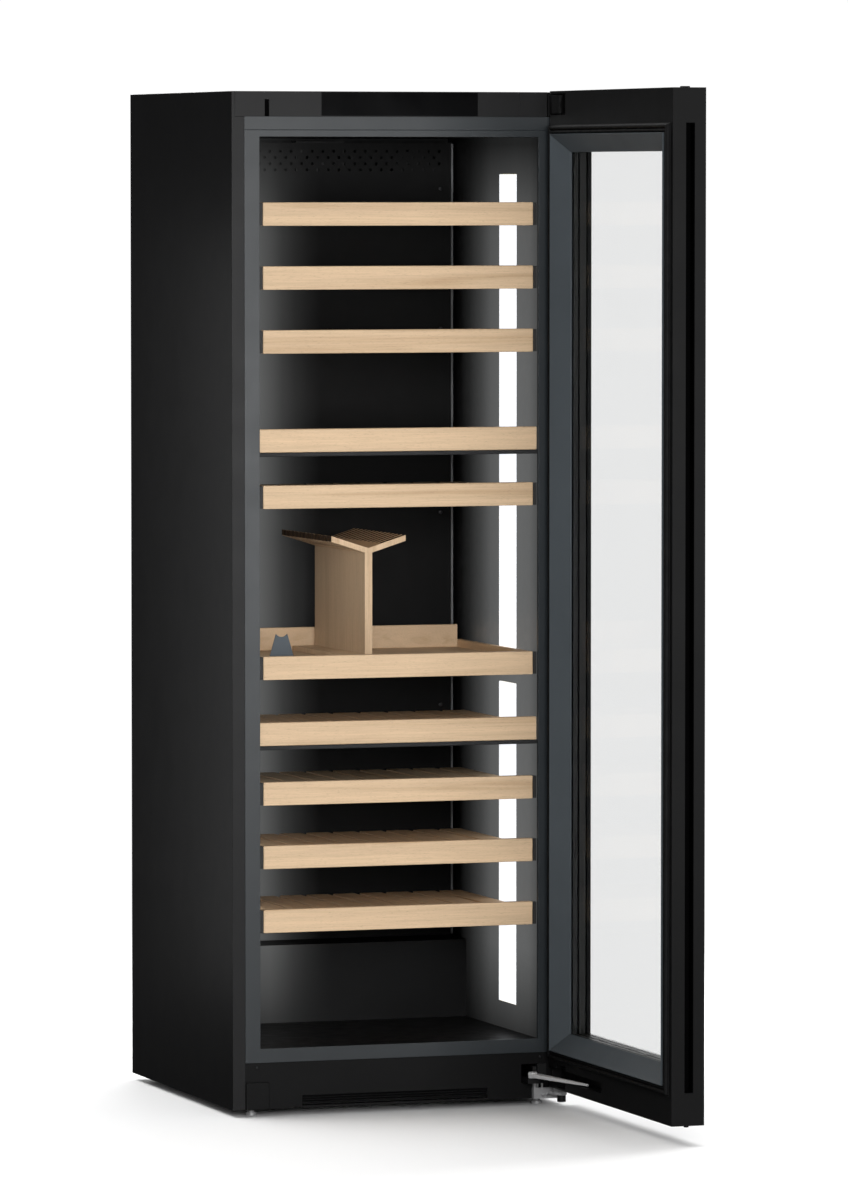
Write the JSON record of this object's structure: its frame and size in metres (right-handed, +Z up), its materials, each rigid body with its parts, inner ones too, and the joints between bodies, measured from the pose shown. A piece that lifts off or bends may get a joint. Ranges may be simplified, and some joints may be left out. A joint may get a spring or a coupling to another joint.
{
  "type": "wine cooler",
  "caption": "Tall free-standing wine cabinet with an open glass door, sliding beech shelves, light columns, a glass rack and a soft-close arm.",
  "frame": {"origin": "on the floor, at the middle of the footprint of the cabinet with its door open at a right angle", "axes": "+Z up, -Y towards the user in front of the cabinet, +X towards the hinge side"},
  "size_m": [0.735, 1.402, 2.0484],
  "materials": {
    "black_steel": "fine textured powder coat, satin",
    "grey_frame": "satin grey",
    "fascia_black": "satin black",
    "zinc_steel": "zinc plated",
    "black_plastic": "fine moulded grain",
    "foam": "rigid foam",
    "liner": "satin moulded",
    "display": "gloss black glass",
    "circuit": "solder mask",
    "filter": "charcoal mat",
    "aluminium": "mill finish",
    "black_enamel": "gloss enamel",
    "led": "opal light cover",
    "beech": "untreated fine grain",
    "runner": "dark moulded",
    "satin_steel": "satin",
    "wheel": "hard moulded",
    "clear_glass": "clear",
    "spacer": "black edge seal",
    "gasket": "soft black"
  },
  "bodies": {
    "cabinet": {"left_side_panel": "black_steel", "right_side_panel": "black_steel", "top_panel": "black_steel", "rear_panel": "zinc_steel", "rear_cover": "black_plastic", "base_tray": "black_steel", "insulation_foam": "foam", "inner_liner": "liner", "front_frame": "grey_frame", "top_fascia": "fascia_black", "display_glass": "display", "control_board": "circuit", "plinth_panel": "black_steel", "vent_grille": "black_plastic", "corner_cover": "black_steel", "duct_cover": "black_plastic", "charcoal_filter": "filter", "evaporator": "aluminium", "fan_housings": "black_plastic", "compressor": "black_enamel", "condenser": "black_enamel", "mains_inlet": "black_plastic", "led_strips": "led", "dividers": "liner", "fixed_rails": "zinc_steel", "shelf_4": "beech", "shelf_7": "beech", "upper_hinge": "black_enamel", "lower_hinge": "satin_steel", "closer_housing": "black_plastic"},
    "door": {"door_frame": "fascia_black", "door_glass": "clear_glass", "glass_spacers": "spacer", "door_bezel": "grey_frame", "door_gasket": "gasket", "door_grip": "black_plastic"},
    "closer_arm": {"closer_arm": "satin_steel"},
    "fan_upper": {"fan_rotor_upper": "black_plastic"},
    "fan_lower": {"fan_rotor_lower": "black_plastic"},
    "foot_left": {"foot_left": "satin_steel"},
    "foot_right": {"foot_right": "satin_steel"},
    "rear_wheels": {"rear_wheels": "wheel"},
    "shelf_1": {"shelf_1": "beech", "runners_1": "runner"},
    "shelf_2": {"shelf_2": "beech", "runners_2": "runner"},
    "shelf_3": {"shelf_3": "beech", "runners_3": "runner"},
    "shelf_5": {"shelf_5": "beech", "runners_5": "runner"},
    "shelf_6": {"shelf_6": "beech", "runners_6": "runner", "glass_rack": "beech", "bottle_cradle": "satin_steel"},
    "shelf_8": {"shelf_8": "beech", "runners_8": "runner"},
    "shelf_9": {"shelf_9": "beech", "runners_9": "runner"},
    "shelf_10": {"shelf_10": "beech", "runners_10": "runner"}
  },
  "joints": [
    {"name": "door_hinge", "type": "hinge", "parent": "cabinet", "child": "door", "pos_m": [0.3145, -0.022, 1], "axis": [0, 0, 1], "range_deg": [-90, 15]},
    {"name": "closer_arm_swing", "type": "hinge", "parent": "cabinet", "child": "closer_arm", "pos_m": [0.2605, -0.015, 0.064], "axis": [0, 0, 1], "range_deg": [-105.3, 17.6]},
    {"name": "shelf_1_slide", "type": "slide", "parent": "cabinet", "child": "shelf_1", "axis": [0, -1, 0], "range_m": [0, 0.3]},
    {"name": "shelf_2_slide", "type": "slide", "parent": "cabinet", "child": "shelf_2", "axis": [0, -1, 0], "range_m": [0, 0.3]},
    {"name": "shelf_3_slide", "type": "slide", "parent": "cabinet", "child": "shelf_3", "axis": [0, -1, 0], "range_m": [0, 0.3]},
    {"name": "shelf_5_slide", "type": "slide", "parent": "cabinet", "child": "shelf_5", "axis": [0, -1, 0], "range_m": [0, 0.3]},
    {"name": "shelf_6_slide", "type": "slide", "parent": "cabinet", "child": "shelf_6", "axis": [0, -1, 0], "range_m": [0, 0.3]},
    {"name": "shelf_8_slide", "type": "slide", "parent": "cabinet", "child": "shelf_8", "axis": [0, -1, 0], "range_m": [0, 0.3]},
    {"name": "shelf_9_slide", "type": "slide", "parent": "cabinet", "child": "shelf_9", "axis": [0, -1, 0], "range_m": [0, 0.3]},
    {"name": "shelf_10_slide", "type": "slide", "parent": "cabinet", "child": "shelf_10", "axis": [0, -1, 0], "range_m": [0, 0.3]},
    {"name": "fan_upper_spin", "type": "hinge", "parent": "cabinet", "child": "fan_upper", "pos_m": [-0.0155, 0.529, 1.895], "axis": [0, 1, 0], "continuous": true},
    {"name": "fan_lower_spin", "type": "hinge", "parent": "cabinet", "child": "fan_lower", "pos_m": [-0.0155, 0.529, 0.38], "axis": [0, 1, 0], "continuous": true},
    {"name": "foot_left_turn", "type": "hinge", "parent": "cabinet", "child": "foot_left", "pos_m": [-0.3185, 0.041, 0.003], "axis": [0, 0, 1], "continuous": true},
    {"name": "foot_right_turn", "type": "hinge", "parent": "cabinet", "child": "foot_right", "pos_m": [0.2875, 0.041, 0.003], "axis": [0, 0, 1], "continuous": true},
    {"name": "rear_wheels_roll", "type": "hinge", "parent": "cabinet", "child": "rear_wheels", "pos_m": [-0.0155, 0.645, 0.015], "axis": [1, 0, 0], "continuous": true}
  ],
  "couplings": [
    {"joint": "closer_arm_swing", "follows": "door_hinge", "ratio": 1.17}
  ]
}
